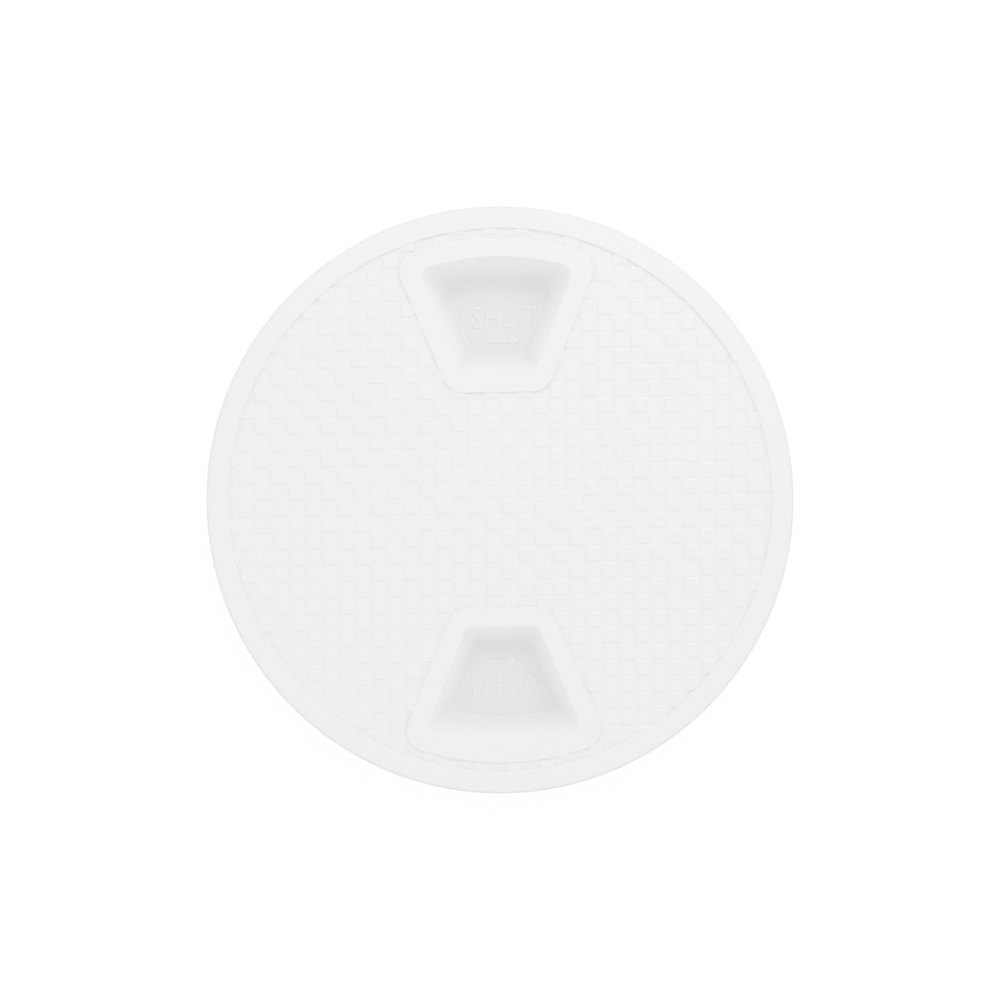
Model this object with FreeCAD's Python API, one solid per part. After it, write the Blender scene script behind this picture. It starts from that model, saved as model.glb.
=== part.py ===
# Deck inspection plate: a moulded access cover that screws into a deck and is turned with the fingers.
#
# Three pieces: a screw-in lid with two finger pockets and a checkered tread, the mounting ring
# that is screwed down round the cut-out in the deck, and the rubber ring that seals the two.
# Sizes are in millimetres. The origin is the middle of the ring's underside, where it meets the
# deck, and +Z is up, out of the deck. The pockets lie along Y. A turn to the left lifts the lid.

import FreeCAD, Part
import math
import os

# Screw plug and skirt of the lid
PLUG_RADIUS = 103.6          # outside of the lid's skirt, without its thread
SKIRT_WALL = 2.8
SKIRT_DEPTH = 16.0           # how far the skirt hangs under the brim

# Two-start thread between lid and ring
THREAD_STARTS = 2
THREAD_PITCH = 5.0           # from one ridge to the next, so one turn lifts the lid by starts * pitch
THREAD_TURNS = 0.5           # length of each ridge on the lid
THREAD_HEIGHT = 2.0
THREAD_CREST = 1.4           # width of a ridge at its crest
THREAD_ROOT = 3.0            # width of a ridge where it meets its wall
THREAD_CLEARANCE = 0.4       # from a crest to the other piece's wall
THREAD_BELOW_SEAT = 0.7      # from the seal's seat to the ring's upper ridge
THREAD_SINK = 0.4            # how far a ridge is rooted in its wall
LUG_COUNT = 4                # the ring's thread is broken into lugs, so that it can be moulded
LUG_ARC = 40.0               # degrees

# Mounting ring
COLLAR_WALL = 3.2
COLLAR_DEPTH = 18.0          # below the deck face
FLANGE_WIDTH = 11.3
FLANGE_THICKNESS = 3.2
SCREW_COUNT = 6
SCREW_HOLE = 4.8             # clearance hole for a countersunk screw
SCREW_HEAD = 9.0             # across the countersink at the top
SCREW_INSET = 5.4            # from the flange's outer edge to the screws' circle

# Seal between lid and ring, held on the skirt under the brim
SEAL_WIDTH = 3.6
SEAL_HEIGHT = 2.6
SEAL_SIDE_GAP = 0.3          # from the seal to the skirt inside it and to the recess round it
SEAL_FACE_GAP = 0.1          # from the seal to the brim above it and to the seat under it

# Lid: brim, rim and plate
BRIM_GAP = 0.4               # from the flange's top to the lid's underside
LIP_GAP = 0.4                # from the flange's edge to the lip that hides it
LIP_WALL = 2.2
LIP_OFF_DECK = 0.8           # the lip stops short of the deck by this much
PLATE_THICKNESS = 3.0        # under the low squares of the tread
RIM_WIDTH = 9.3              # smooth band round the edge
RIM_HEIGHT = 0.7             # rim and pocket borders above the low squares
EDGE_ROUND = 1.6             # round of the lid's outer edge, cut as a few flats
EDGE_FLATS = 2

# Checkered tread: every second square of a board is a raised pad with sloped sides
TREAD_PITCH = 6.88
TREAD_GAP = 0.24             # kept between the corners of two pads
TREAD_HEIGHT = 0.4
TREAD_BEVEL = 0.35
TREAD_SMALLEST = 0.4         # a cut pad with less than this share on show is left off
TREAD_ASIDE = 0.55           # the board of squares lies this far off the middle in X
TREAD_ALONG = 0.95           # and this far in Y

# Finger pockets
POCKET_SET_IN = 1.7          # from the skirt's outside to the mouth's wide end
POCKET_LENGTH = 48.8         # from the mouth's narrow end to its wide end
POCKET_NARROW = 15.0         # half the width at the mouth's narrow end
POCKET_SPREAD = 22.4         # degrees by which each side leans out
POCKET_DEPTH = 14.0          # below the rim
POCKET_SLOPE_IN = 7.5        # how far sides and wide end run in between mouth and floor
POCKET_SLOPE_NEAR = 9.2      # the same for the narrow end, which leans more
POCKET_WALL = 2.4
CUP_WIDE_FLATS = 5           # the cup's outside is made of flats, this many at its wide end
CUP_WIDE_STEP = 8.0          # degrees from one to the next
POCKET_WIDE_CORNER = 4.8
POCKET_NARROW_CORNER = 3.4
POCKET_FLOOR_CHAMFER = 1.4   # softens the edge between floor and walls
BORDER_WIDTH = 8.1           # smooth raised border round a pocket
BORDER_CORNER = 9.0

# Stiffening under the lid
RIB_COUNT = 8
RIB_THICKNESS = 2.0
RIB_DEPTH = 5.5
HUB_RADIUS = 20.0            # ring where the ribs meet

# Heights and radii that follow from the sizes above
BORE_RADIUS = PLUG_RADIUS + THREAD_HEIGHT + THREAD_CLEARANCE
COLLAR_RADIUS = BORE_RADIUS + COLLAR_WALL
FLANGE_RADIUS = COLLAR_RADIUS + FLANGE_WIDTH
SCREW_CIRCLE = FLANGE_RADIUS - SCREW_INSET
LIP_RADIUS = FLANGE_RADIUS + LIP_GAP
LID_RADIUS = LIP_RADIUS + LIP_WALL
BRIM_Z = FLANGE_THICKNESS + BRIM_GAP
LOW_Z = BRIM_Z + PLATE_THICKNESS
RIM_Z = LOW_Z + RIM_HEIGHT
SKIRT_Z = BRIM_Z - SKIRT_DEPTH
RIM_INNER = LID_RADIUS - RIM_WIDTH
SKIRT_INNER = PLUG_RADIUS - SKIRT_WALL
POCKET_MOUTH_RADIUS = PLUG_RADIUS - POCKET_SET_IN
POCKET_NEAR = POCKET_MOUTH_RADIUS - POCKET_LENGTH
LEAD = THREAD_STARTS * THREAD_PITCH
SEAL_INNER = PLUG_RADIUS + SEAL_SIDE_GAP
SEAL_OUTER = SEAL_INNER + SEAL_WIDTH
SEAL_TOP = BRIM_Z - SEAL_FACE_GAP
RECESS_RADIUS = SEAL_OUTER + SEAL_SIDE_GAP
SEAT_Z = SEAL_TOP - SEAL_HEIGHT - SEAL_FACE_GAP
THREAD_TOP_Z = SEAT_Z - THREAD_BELOW_SEAT - THREAD_ROOT / 2

SAME_PLACE = 1e-6            # points closer than this are one
CUT_PAST = 0.5               # a cutting form goes this far past the face that it opens

UP = FreeCAD.Vector(0, 0, 1)
CENTRE = FreeCAD.Vector(0, 0, 0)


def point(x, y, z):
    return FreeCAD.Vector(x, y, z)


def turned(profile):
    """A solid of revolution from (radius, height) corners, given in order round the section."""
    corners = [point(radius, 0, height) for radius, height in profile]
    wire = Part.makePolygon(corners + corners[:1])
    return Part.Face(wire).revolve(CENTRE, UP, 360)


def arc_between(centre, start, end, radius):
    """Arc of a rounded corner from start to end about centre, on the side away from the centre."""
    middle = (start - centre) + (end - centre)
    middle.normalize()
    return Part.Arc(start, centre + middle * radius, end).toShape()


def pocket_outline(inset, near_inset, narrow_corner, wide_corner, height):
    """A pocket's outline on the +Y side: a trapezoid whose wide end is an arc.

    Sides and wide end are moved in by inset, and the narrow end by near_inset.
    """
    lean = math.radians(POCKET_SPREAD)
    tangent, cosine, sine = math.tan(lean), math.cos(lean), math.sin(lean)
    near = POCKET_NEAR + near_inset
    outer = POCKET_MOUTH_RADIUS - inset
    # the side is the line x = tangent * y + offset
    offset = POCKET_NARROW - tangent * POCKET_NEAR - inset / cosine
    side_normal = point(cosine, -sine, 0)

    narrow_y = near + narrow_corner
    narrow_x = tangent * narrow_y + offset - narrow_corner / cosine
    narrow_centre = point(narrow_x, narrow_y, height)
    narrow_end = point(narrow_x, near, height)
    narrow_side = narrow_centre + side_normal * narrow_corner

    # the wide corner's centre lies on a circle inside the arc and on a line inside the side
    ring = outer - wide_corner
    line = offset - wide_corner / cosine
    half = tangent * line
    square = 1 + tangent**2
    wide_y = (-half + math.sqrt(half**2 - square * (line**2 - ring**2))) / square
    wide_centre = point(tangent * wide_y + line, wide_y, height)
    wide_side = wide_centre + side_normal * wide_corner
    outward = point(wide_centre.x, wide_centre.y, 0) / ring
    wide_end = wide_centre + outward * wide_corner

    def mirrored(spot):
        return point(-spot.x, spot.y, spot.z)

    edges = [
        Part.makeLine(mirrored(narrow_end), narrow_end),
        arc_between(narrow_centre, narrow_end, narrow_side, narrow_corner),
        Part.makeLine(narrow_side, wide_side),
        arc_between(wide_centre, wide_side, wide_end, wide_corner),
        Part.Arc(wide_end, point(0, outer, height), mirrored(wide_end)).toShape(),
        arc_between(mirrored(wide_centre), mirrored(wide_end), mirrored(wide_side), wide_corner),
        Part.makeLine(mirrored(wide_side), mirrored(narrow_side)),
        arc_between(mirrored(narrow_centre), mirrored(narrow_side), mirrored(narrow_end), narrow_corner),
    ]
    return Part.Wire(edges)


def both_pockets(solid):
    """The solid and its copy half a turn round, for the second pocket."""
    other = solid.copy()
    other.rotate(CENTRE, UP, 180)
    return [solid, other]


def walls_between(lower, upper):
    """Faces that join two outlines edge by edge: flat between straight edges, ruled at the arcs."""
    faces = []
    for low, high in zip(lower.OrderedEdges, upper.OrderedEdges):
        shift = high.valueAt(high.FirstParameter) - low.valueAt(low.FirstParameter)
        far_shift = high.valueAt(high.LastParameter) - low.valueAt(low.LastParameter)
        if isinstance(low.Curve, Part.Line):
            corners = [
                low.valueAt(low.FirstParameter),
                low.valueAt(low.LastParameter),
                high.valueAt(high.LastParameter),
                high.valueAt(high.FirstParameter),
            ]
            faces.append(Part.Face(Part.makePolygon(corners + corners[:1])))
        elif (shift - far_shift).Length < SAME_PLACE:
            faces.append(low.extrude(shift))
        else:
            faces.append(Part.makeRuledSurface(low, high))
    return faces


def tapered_solid(outlines):
    """A closed solid through outlines that lie one above the other."""
    faces = [Part.Face(outlines[0]), Part.Face(outlines[-1])]
    for lower, upper in zip(outlines, outlines[1:]):
        faces += walls_between(lower, upper)
    shell = Part.makeShell(faces)
    shell.sewShape()
    solid = Part.makeSolid(shell)
    if solid.Volume < 0:
        solid.reverse()
    return solid


def pocket_level(depth, extra=0.0):
    """A pocket's outline at a depth below the rim, moved in by what its walls have run in."""
    share = depth / POCKET_DEPTH
    return pocket_outline(
        POCKET_SLOPE_IN * share + extra, POCKET_SLOPE_NEAR * share + extra,
        POCKET_NARROW_CORNER, POCKET_WIDE_CORNER, RIM_Z - depth,
    )


def cup_outline(inset, near_inset, height):
    """The same trapezoid in flats: lines that face fixed ways, each met with the next."""
    lean = math.radians(POCKET_SPREAD)
    side = POCKET_NARROW * math.cos(lean) - POCKET_NEAR * math.sin(lean)
    near, outer = POCKET_NEAR + near_inset, POCKET_MOUTH_RADIUS - inset
    half_wide = CUP_WIDE_STEP * (CUP_WIDE_FLATS - 1) / 2
    flats = [(-90.0, -near), (-POCKET_SPREAD, side - inset)]
    for index in range(CUP_WIDE_FLATS):
        flats.append((90 - half_wide + CUP_WIDE_STEP * index, outer))
    flats.append((180 + POCKET_SPREAD, side - inset))
    corners = []
    for (facing, out), (next_facing, next_out) in zip(flats, flats[1:] + flats[:1]):
        turn, next_turn = math.radians(facing), math.radians(next_facing)
        share = math.sin(next_turn - turn)
        x = (out * math.sin(next_turn) - next_out * math.sin(turn)) / share
        y = (next_out * math.cos(turn) - out * math.cos(next_turn)) / share
        corners.append(point(x, y, height))
    return Part.makePolygon(corners + corners[:1])


def pocket_hollow():
    """The space cut out of the lid for one pocket, softened round its floor."""
    return tapered_solid([
        pocket_level(POCKET_DEPTH, POCKET_FLOOR_CHAMFER),
        pocket_level(POCKET_DEPTH - POCKET_FLOOR_CHAMFER),
        pocket_level(-CUT_PAST),
    ])


def pocket_cup():
    """The outside of the cup that a pocket forms under the plate, before it is hollowed."""
    levels = []
    for depth in (POCKET_DEPTH + POCKET_WALL, RIM_HEIGHT + PLATE_THICKNESS / 2):
        insets = []
        for slope in (POCKET_SLOPE_IN, POCKET_SLOPE_NEAR):
            run_out = POCKET_WALL * math.hypot(slope, POCKET_DEPTH) / POCKET_DEPTH
            insets.append(slope * depth / POCKET_DEPTH - run_out)
        levels.append(cup_outline(*insets, RIM_Z - depth))
    return tapered_solid(levels)


def pocket_border():
    """The smooth raised land round a pocket's mouth."""
    outline = pocket_outline(-BORDER_WIDTH, -BORDER_WIDTH, BORDER_CORNER, BORDER_CORNER, LOW_Z)
    return Part.Face(outline).extrude(UP * RIM_HEIGHT)


def tread_pad():
    """One raised pad of the tread, centred on the origin: a square frustum on the low level."""
    base = (TREAD_PITCH - TREAD_GAP) / 2
    top = base - TREAD_BEVEL

    def square(half, height):
        corners = [point(x * half, y * half, height) for x, y in ((1, 1), (-1, 1), (-1, -1), (1, -1))]
        return Part.makePolygon(corners + corners[:1])

    return Part.makeLoft([square(base, LOW_Z), square(top, LOW_Z + TREAD_HEIGHT)], True, True)


def on_field(x, y):
    """True where the low level of the tread shows: inside the rim and off both pocket borders."""
    if math.hypot(x, y) > RIM_INNER:
        return False
    along = abs(y)
    lean = math.radians(POCKET_SPREAD)
    half_width = POCKET_NARROW + (along - POCKET_NEAR) * math.tan(lean) + BORDER_WIDTH / math.cos(lean)
    beside = abs(x) > half_width
    short_of = along < POCKET_NEAR - BORDER_WIDTH
    beyond = math.hypot(x, y) > POCKET_MOUTH_RADIUS + BORDER_WIDTH
    return beside or short_of or beyond


def share_on_field(middle):
    """How much of a pad shows, from a few spots spread over it."""
    steps = [(index + 0.5) / 6 - 0.5 for index in range(6)]
    size = TREAD_PITCH - TREAD_GAP
    spots = [on_field(middle.x + u * size, middle.y + v * size) for u in steps for v in steps]
    return sum(spots) / len(spots)


def tread_pads():
    """The raised pads. Those at the edge run on into the rim or a border, which are higher."""
    pad = tread_pad()
    reach = int(RIM_INNER / TREAD_PITCH) + 1
    pads = []
    for column in range(-reach, reach):
        for row in range(-reach, reach):
            aside = TREAD_ASIDE + (column + 0.5) * TREAD_PITCH
            middle = point(aside, TREAD_ALONG + (row + 0.5) * TREAD_PITCH, 0)
            raised = (column + row) % 2 == 1
            if raised and share_on_field(middle) > TREAD_SMALLEST:
                pads.append(pad.translated(middle))
    return pads


def ridge_section(wall_radius, outward):
    """Section of a thread ridge on a wall of the given radius, rooted a little way in."""
    side = 1 if outward else -1
    root = wall_radius - side * THREAD_SINK
    crest = wall_radius + side * THREAD_HEIGHT
    widening = (THREAD_ROOT - THREAD_CREST) / THREAD_HEIGHT * THREAD_SINK
    half_root = (THREAD_ROOT + widening) / 2
    half_crest = THREAD_CREST / 2
    corners = [
        point(root, 0, -half_root),
        point(crest, 0, -half_crest),
        point(crest, 0, half_crest),
        point(root, 0, half_root),
    ]
    return Part.makePolygon(corners + corners[:1])


def ridge(wall_radius, outward, top_z, start_turn, turns):
    """A length of right-hand ridge that begins start_turn along a helix ending at top_z."""
    path = Part.Wire(Part.makeHelix(LEAD, LEAD * turns, wall_radius).Edges)
    solid = path.makePipeShell([ridge_section(wall_radius, outward)], True, True)
    solid.rotate(CENTRE, UP, 360 * start_turn)
    solid.translate(point(0, 0, top_z - LEAD * (THREAD_TURNS - start_turn)))
    return solid


def lid_thread():
    """One long ridge for each start, on the skirt."""
    top_z = THREAD_TOP_Z - THREAD_PITCH / 2
    ridges = []
    for start in range(THREAD_STARTS):
        solid = ridge(PLUG_RADIUS, True, top_z, 0, THREAD_TURNS)
        solid.rotate(CENTRE, UP, 360 * start / THREAD_STARTS)
        ridges.append(solid)
    return ridges


def ring_lugs():
    """Short lengths of the same helix inside the collar, half a pitch above the lid's ridges."""
    each = LUG_COUNT // THREAD_STARTS
    turns = LUG_ARC / 360
    lugs = []
    for start in range(THREAD_STARTS):
        for index in range(each):
            begin = THREAD_TURNS * (index + 0.5) / each - turns / 2
            solid = ridge(BORE_RADIUS, False, THREAD_TOP_Z, begin, turns)
            solid.rotate(CENTRE, UP, 360 * start / THREAD_STARTS)
            lugs.append(solid)
    return lugs


def make_mounting_ring():
    """Flange, threaded collar and countersunk holes, with the recess that takes the seal."""
    ring = turned([
        (BORE_RADIUS, -COLLAR_DEPTH),
        (COLLAR_RADIUS, -COLLAR_DEPTH),
        (COLLAR_RADIUS, 0),
        (FLANGE_RADIUS, 0),
        (FLANGE_RADIUS, FLANGE_THICKNESS),
        (RECESS_RADIUS, FLANGE_THICKNESS),
        (RECESS_RADIUS, SEAT_Z),
        (BORE_RADIUS, SEAT_Z),
    ])
    sink_depth = (SCREW_HEAD - SCREW_HOLE) / 2
    sink_z = FLANGE_THICKNESS - sink_depth
    hole = Part.makeCylinder(SCREW_HOLE / 2, FLANGE_THICKNESS, point(SCREW_CIRCLE, 0, 0))
    sink = Part.makeCone(SCREW_HOLE / 2, SCREW_HEAD / 2, sink_depth, point(SCREW_CIRCLE, 0, sink_z))
    cuts = []
    for index in range(SCREW_COUNT):
        cut = hole.fuse(sink)
        cut.rotate(CENTRE, UP, 360 * (index + 0.5) / SCREW_COUNT)
        cuts.append(cut)
    ring = ring.cut(cuts)
    return ring.fuse(ring_lugs()).removeSplitter()


def make_seal_ring():
    """Rubber ring of rectangular section, stretched over the skirt under the brim."""
    return turned([
        (SEAL_INNER, SEAL_TOP - SEAL_HEIGHT),
        (SEAL_OUTER, SEAL_TOP - SEAL_HEIGHT),
        (SEAL_OUTER, SEAL_TOP),
        (SEAL_INNER, SEAL_TOP),
    ])


def lid_shell():
    """Plate, rim, lip and skirt of the lid, turned in one section."""
    edge = []
    for index in range(EDGE_FLATS + 1):
        turn = math.radians(90 * index / EDGE_FLATS)
        edge.append((
            LID_RADIUS - EDGE_ROUND * (1 - math.sin(turn)),
            RIM_Z - EDGE_ROUND * (1 - math.cos(turn)),
        ))
    section = [
        (0, LOW_Z),
        (RIM_INNER, LOW_Z),
        (RIM_INNER, RIM_Z),
    ]
    section += edge
    section += [
        (LID_RADIUS, LIP_OFF_DECK),
        (LIP_RADIUS, LIP_OFF_DECK),
        (LIP_RADIUS, BRIM_Z),
        (PLUG_RADIUS, BRIM_Z),
        (PLUG_RADIUS, SKIRT_Z),
        (SKIRT_INNER, SKIRT_Z),
        (SKIRT_INNER, BRIM_Z),
        (0, BRIM_Z),
    ]
    return turned(section)


def lid_ribs():
    """Radial ribs and the hub ring that they meet, moulded under the plate."""
    reach = SKIRT_INNER + SKIRT_WALL / 2 - HUB_RADIUS
    rib = Part.makeBox(
        reach, RIB_THICKNESS, RIB_DEPTH + PLATE_THICKNESS / 2,
        point(HUB_RADIUS, -RIB_THICKNESS / 2, BRIM_Z - RIB_DEPTH),
    )
    hub = turned([
        (HUB_RADIUS - RIB_THICKNESS / 2, BRIM_Z - RIB_DEPTH),
        (HUB_RADIUS + RIB_THICKNESS / 2, BRIM_Z - RIB_DEPTH),
        (HUB_RADIUS + RIB_THICKNESS / 2, BRIM_Z + PLATE_THICKNESS / 2),
        (HUB_RADIUS - RIB_THICKNESS / 2, BRIM_Z + PLATE_THICKNESS / 2),
    ])
    ribs = [hub]
    for index in range(RIB_COUNT):
        copy = rib.copy()
        copy.rotate(CENTRE, UP, 360 * index / RIB_COUNT)
        ribs.append(copy)
    return ribs


def make_lid():
    """The one-piece lid: shell, ribs, cups, borders, thread and tread, then the two hollows."""
    raised = lid_ribs() + both_pockets(pocket_cup()) + both_pockets(pocket_border())
    raised += lid_thread()
    lid = lid_shell().fuse(raised).removeSplitter()
    lid = lid.fuse(tread_pads())
    return lid.cut(both_pockets(pocket_hollow()))


def main():
    os.makedirs("parts", exist_ok=True)
    pieces = {
        "mounting_ring": make_mounting_ring(),
        "seal_ring": make_seal_ring(),
        "lid": make_lid(),
    }
    for name, shape in pieces.items():
        shape.exportStep("parts/" + name + ".step")
        print(name, "solids", len(shape.Solids), "valid", shape.isValid(), "volume", round(shape.Volume))


main()
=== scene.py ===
# %% [markdown]
# A screw-in deck inspection plate, seen from straight above.
# The plate closes a round opening in a boat's deck. Its lid is one white moulding with a
# checkered tread and two finger pockets, and it screws into a ring that is fixed to the deck.
# The CAD frame gives the sizes and the motion. This lesson adds what makes it look moulded:
# rounded edges, soft corners, raised words, and plastic and rubber with a fine skin.

import math

import bmesh
import bpy
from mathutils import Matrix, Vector


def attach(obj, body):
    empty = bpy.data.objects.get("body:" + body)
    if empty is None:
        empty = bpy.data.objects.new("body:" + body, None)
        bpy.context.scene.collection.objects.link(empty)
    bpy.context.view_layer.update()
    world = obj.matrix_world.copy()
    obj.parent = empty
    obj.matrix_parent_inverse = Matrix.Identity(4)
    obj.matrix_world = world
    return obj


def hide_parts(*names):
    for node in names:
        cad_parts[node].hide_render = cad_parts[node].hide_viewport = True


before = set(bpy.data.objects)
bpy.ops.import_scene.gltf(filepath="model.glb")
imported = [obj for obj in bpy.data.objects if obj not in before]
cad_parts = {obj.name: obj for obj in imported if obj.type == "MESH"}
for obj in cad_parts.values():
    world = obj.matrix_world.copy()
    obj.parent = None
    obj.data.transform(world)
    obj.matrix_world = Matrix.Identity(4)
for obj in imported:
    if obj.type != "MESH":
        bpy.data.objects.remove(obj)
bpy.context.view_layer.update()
print("CAD nodes:", ", ".join(sorted(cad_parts)))

# %% [markdown]
# Sizes are in millimetres, as on a maker's drawing, and become metres where a mesh is made.
# They are the CAD frame's sizes, so each piece lies where its solid lies. New are only the
# small radii and the gentler sides of the tread's squares: a mould has no sharp edge, and it
# is these rounds that catch the light.

# %% Sizes of the moulding
MM = 0.001
ROUND_STEPS = 256            # faces round a full circle
ARC_STEP = 15.0              # degrees in one face of a rounded edge

PLUG_RADIUS = 103.6
SKIRT_WALL = 2.8
SKIRT_Z = -12.4
BRIM_Z = 3.6
LOW_Z = 6.6
RIM_Z = 7.3
LIP_Z = 0.8
LIP_RADIUS = 120.9
LID_RADIUS = 123.1
RIM_INNER = 113.8
SKIRT_INNER = PLUG_RADIUS - SKIRT_WALL

BORE_RADIUS = 106.0
COLLAR_RADIUS = 109.2
COLLAR_Z = -18.0
FLANGE_RADIUS = 120.5
FLANGE_TOP = 3.2
RECESS_RADIUS = 107.8
SEAT_Z = 0.8
SCREW_COUNT = 6
SCREW_CIRCLE = 115.1
SCREW_HOLE = 4.8
SCREW_HEAD = 9.0

SEAL_INNER = 103.9
SEAL_OUTER = 107.5
SEAL_LOW = 0.9
SEAL_TOP = 3.5

THREAD_STARTS = 2
THREAD_LEAD = 10.0
THREAD_TURNS = 0.5
THREAD_HEIGHT = 2.0
THREAD_CREST = 1.4
THREAD_ROOT = 3.0
THREAD_SINK = 0.4
RING_THREAD_Z = -1.4         # middle of the ring's thread at its top end
LID_THREAD_Z = -3.9          # half a pitch lower
LUG_COUNT = 4
LUG_ARC = 40.0

TREAD_PITCH = 6.88
TREAD_GAP = 0.24
TREAD_HEIGHT = 0.4
TREAD_BEVEL = 0.8            # how far a pad's sides run in, up to the middle of their round
TREAD_SHIFT = (0.55, 0.95)   # the board of squares isn't quite centred on the plate

POCKET_OUTER = 101.9         # radius of the mouth's wide end
POCKET_NEAR = 53.1           # from the middle to the mouth's narrow end
POCKET_NARROW = 15.0
POCKET_LEAN = math.radians(22.4)
POCKET_DEPTH = 14.0
POCKET_SLOPE_IN = 7.5        # sides and wide end, from mouth to floor
POCKET_SLOPE_NEAR = 9.2      # narrow end
POCKET_WALL = 2.4
WIDE_CORNER = 4.8
NARROW_CORNER = 3.4
BORDER_WIDTH = 8.1
BORDER_CORNER = 9.0
FLOOR_Z = RIM_Z - POCKET_DEPTH

RIB_COUNT = 8
RIB_THICKNESS = 2.0
RIB_DEPTH = 5.5
HUB_RADIUS = 20.0
print("lid", 2 * LID_RADIUS, "mm across, pockets", POCKET_DEPTH, "mm deep")

# %% [markdown]
# Most forms here are turned on a lathe or lofted through outlines, so three helpers make
# nearly everything. The first rounds the corners of a section, the second turns a section
# round the upright axis, and the third joins outlines that lie one above the other.

# %% Helpers that make closed bodies
def new_piece(name, points, faces):
    """An object from points in millimetres, with its faces turned outwards."""
    shape = bpy.data.meshes.new(name)
    shape.from_pydata([[value * MM for value in point] for point in points], [], faces)
    work = bmesh.new()
    work.from_mesh(shape)
    bmesh.ops.recalc_face_normals(work, faces=work.faces)
    work.to_mesh(shape)
    work.free()
    piece = bpy.data.objects.new(name, shape)
    bpy.context.scene.collection.objects.link(piece)
    return piece


def rounded(corners):
    """The points of a section whose (radius, height, round) corners become arcs."""
    points = []
    for index, (across, up, radius) in enumerate(corners):
        corner = Vector((across, up))
        if radius == 0:
            points.append(corner)
            continue
        before = Vector(corners[index - 1][:2]) - corner
        after = Vector(corners[(index + 1) % len(corners)][:2]) - corner
        before.normalize()
        after.normalize()
        half = before.angle(after) / 2
        centre = corner + (before + after).normalized() * radius / math.sin(half)
        start = corner + before * radius / math.tan(half) - centre
        end = corner + after * radius / math.tan(half) - centre
        sweep = start.angle_signed(end)
        steps = max(2, math.ceil(abs(math.degrees(sweep)) / ARC_STEP))
        first = math.atan2(start.y, start.x)
        for step in range(steps + 1):
            turn = first - sweep * step / steps
            points.append(centre + Vector((math.cos(turn), math.sin(turn))) * radius)
    return points


def turned(name, corners):
    """A body of revolution. A section that starts and ends on the axis gets two flat caps."""
    section = rounded(corners)
    capped = corners[0][0] == 0
    rows = section[1:-1] if capped else section
    points = []
    for across, up in rows:
        for index in range(ROUND_STEPS):
            turn = math.tau * index / ROUND_STEPS
            points.append((across * math.cos(turn), across * math.sin(turn), up))
    return new_piece(name, points, banded(len(rows), ROUND_STEPS, capped))


def banded(rows, count, capped):
    """Faces of a body made of rows of points, closed by two caps or into a loop."""
    faces = []
    for row in range(rows - 1 if capped else rows):
        low, high = row * count, (row + 1) % rows * count
        for index in range(count):
            beside = (index + 1) % count
            faces.append((low + index, low + beside, high + beside, high + index))
    if capped:
        faces.append(range(count))
        faces.append(range((rows - 1) * count, rows * count))
    return faces


def lofted(name, levels):
    """A closed body through (outline, height) levels, whose outlines have as many points each."""
    points = [(x, y, height) for outline, height in levels for x, y in outline]
    return new_piece(name, points, banded(len(levels), len(levels[0][0]), True))


print("helpers ready")

# %% [markdown]
# A real moulding is one piece of plastic, so its parts are united into one closed mesh, and
# the pockets are cut out of it. Blender's Manifold boolean is quick and exact on closed
# bodies. Each body is finished with smooth shading that keeps its flats flat.

# %% Helpers that unite, cut and finish
def made_plain(piece):
    """Replaces an object's mesh by what its modifiers make of it."""
    bpy.context.view_layer.update()
    evaluated = piece.evaluated_get(bpy.context.evaluated_depsgraph_get())
    shape = bpy.data.meshes.new_from_object(evaluated)
    piece.modifiers.clear()
    old = piece.data
    piece.data = shape
    bpy.data.meshes.remove(old)
    return piece


def removed(piece):
    """Takes an object and its mesh out of the file."""
    shape = piece.data
    bpy.data.objects.remove(piece)
    bpy.data.meshes.remove(shape)


def combined(piece, operation, tools):
    """Unites each tool with the piece, or cuts it out, one after another."""
    for tool in tools:
        step = piece.modifiers.new("combine", "BOOLEAN")
        step.operation = operation
        step.solver = "MANIFOLD"
        step.object = tool
        made_plain(piece)
        removed(tool)
    return piece


def half_turned(piece):
    """A copy of a body turned half round the axis, for the second pocket."""
    other = piece.copy()
    other.data = piece.data.copy()
    for vertex in other.data.vertices:
        vertex.co.x, vertex.co.y = -vertex.co.x, -vertex.co.y
    bpy.context.scene.collection.objects.link(other)
    return other


def shaded(piece, sharp=40.0):
    """Smooth shading that breaks at sharp edges and leaves the large flats flat."""
    piece.data.shade_smooth()
    piece.data.set_sharp_from_angle(angle=math.radians(sharp))
    weigh = piece.modifiers.new("weigh", "WEIGHTED_NORMAL")
    weigh.mode = "FACE_AREA"
    weigh.weight = 100
    weigh.keep_sharp = True
    return made_plain(piece)


def tally(piece):
    """Prints how many triangles a piece has."""
    piece.data.calc_loop_triangles()
    print(piece.name, len(piece.data.loop_triangles), "triangles")
    return piece


# %% [markdown]
# Screws, ribs and thread lugs repeat round the axis, some of them climbing as a thread does.
# A small Geometry Nodes tree does this for all of them: points on the axis, one copy of the
# piece on each, turned and lifted by its number, then made real.

# %% A node tree that repeats a piece round the axis
def new_tree(name, inputs):
    """A geometry tree with named inputs, and its input and output nodes."""
    tree = bpy.data.node_groups.new(name, "GeometryNodeTree")
    for label, kind in inputs:
        tree.interface.new_socket(label, in_out="INPUT", socket_type="NodeSocket" + kind)
    tree.interface.new_socket("Geometry", in_out="OUTPUT", socket_type="NodeSocketGeometry")
    return tree, tree.nodes.new("NodeGroupInput").outputs, tree.nodes.new("NodeGroupOutput").inputs


def maths(tree, operation, *values):
    """A Math node fed by sockets or plain numbers."""
    node = tree.nodes.new("ShaderNodeMath")
    node.operation = operation
    for socket, value in zip(node.inputs, values):
        if isinstance(value, bpy.types.NodeSocket):
            tree.links.new(value, socket)
        else:
            socket.default_value = value
    return node.outputs[0]


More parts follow.
